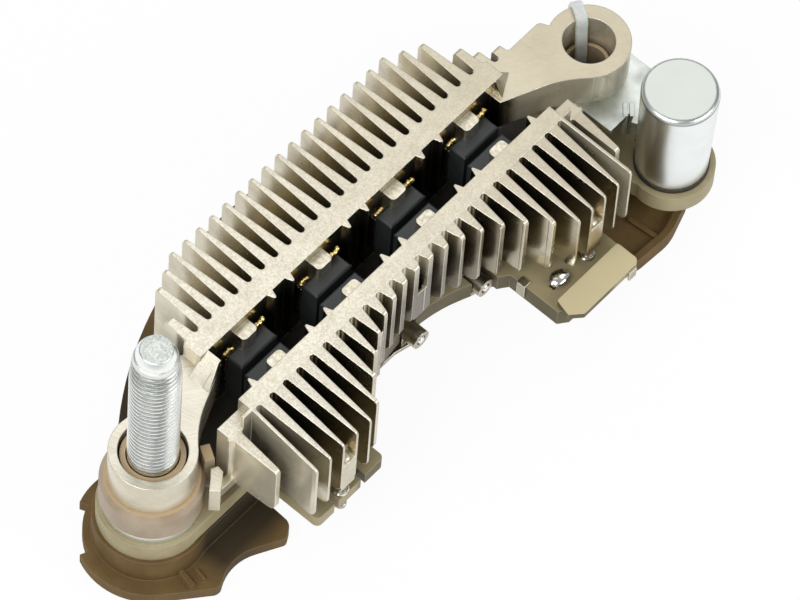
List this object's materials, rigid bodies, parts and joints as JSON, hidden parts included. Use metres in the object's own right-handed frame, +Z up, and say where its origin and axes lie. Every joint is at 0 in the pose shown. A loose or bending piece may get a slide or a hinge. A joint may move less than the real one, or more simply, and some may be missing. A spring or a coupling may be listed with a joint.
{
  "type": "alternator_rectifier",
  "caption": "Crescent-shaped alternator rectifier with two finned aluminium heat sinks, pressed-in diode rows, an insulated terminal stud, a round capacitor and a brown base cover.",
  "frame": {"origin": "plane the rectifier stands on, on the terminal stud's axis", "axes": "+X from the stud to the fixing eyelet, +Y towards the long fins of the positive sink, +Z up along the stud"},
  "size_m": [0.1217, 0.057, 0.0563],
  "materials": {
    "sink_casting": "cast, champagne tone",
    "bright_zinc": "bright zinc plated",
    "tinned_metal": "tinned",
    "gold_lead": "pale gold",
    "diode_moulding": "charcoal matt",
    "tan_insulator": "tan satin",
    "olive_board": "olive tan, faintly translucent",
    "brown_cover": "dark brown matt",
    "can_sleeve": "pale grey white, satin",
    "seal_resin": "dark resin"
  },
  "bodies": {
    "root": {"base_cover": "brown_cover", "board_edge_contact": "tinned_metal", "capacitor_can": "can_sleeve", "capacitor_lead": "tinned_metal", "capacitor_seal": "seal_resin", "capacitor_strap": "bright_zinc", "diode_prongs": "gold_lead", "eyelet_bush": "tan_insulator", "eyelet_contact_ring": "bright_zinc", "eyelet_insulator": "tan_insulator", "negative_diode_1": "diode_moulding", "negative_diode_2": "diode_moulding", "negative_diode_3": "diode_moulding", "negative_diode_4": "diode_moulding", "negative_diode_leads": "tinned_metal", "negative_diode_slug_1": "tinned_metal", "negative_diode_slug_2": "tinned_metal", "negative_diode_slug_3": "tinned_metal", "negative_diode_slug_4": "tinned_metal", "negative_heat_sink": "sink_casting", "phase_conductor_1": "tinned_metal", "phase_conductor_2": "tinned_metal", "phase_conductor_3": "tinned_metal", "phase_conductor_4": "tinned_metal", "positive_diode_1": "diode_moulding", "positive_diode_2": "diode_moulding", "positive_diode_3": "diode_moulding", "positive_diode_4": "diode_moulding", "positive_diode_leads": "tinned_metal", "positive_diode_slug_1": "tinned_metal", "positive_diode_slug_2": "tinned_metal", "positive_diode_slug_3": "tinned_metal", "positive_diode_slug_4": "tinned_metal", "positive_heat_sink": "sink_casting", "sink_rivets": "tinned_metal", "stud_bush": "tan_insulator", "stud_contact_ring": "bright_zinc", "stud_insulator": "tan_insulator", "terminal_board": "olive_board", "terminal_stud": "bright_zinc"}
  },
  "joints": []
}
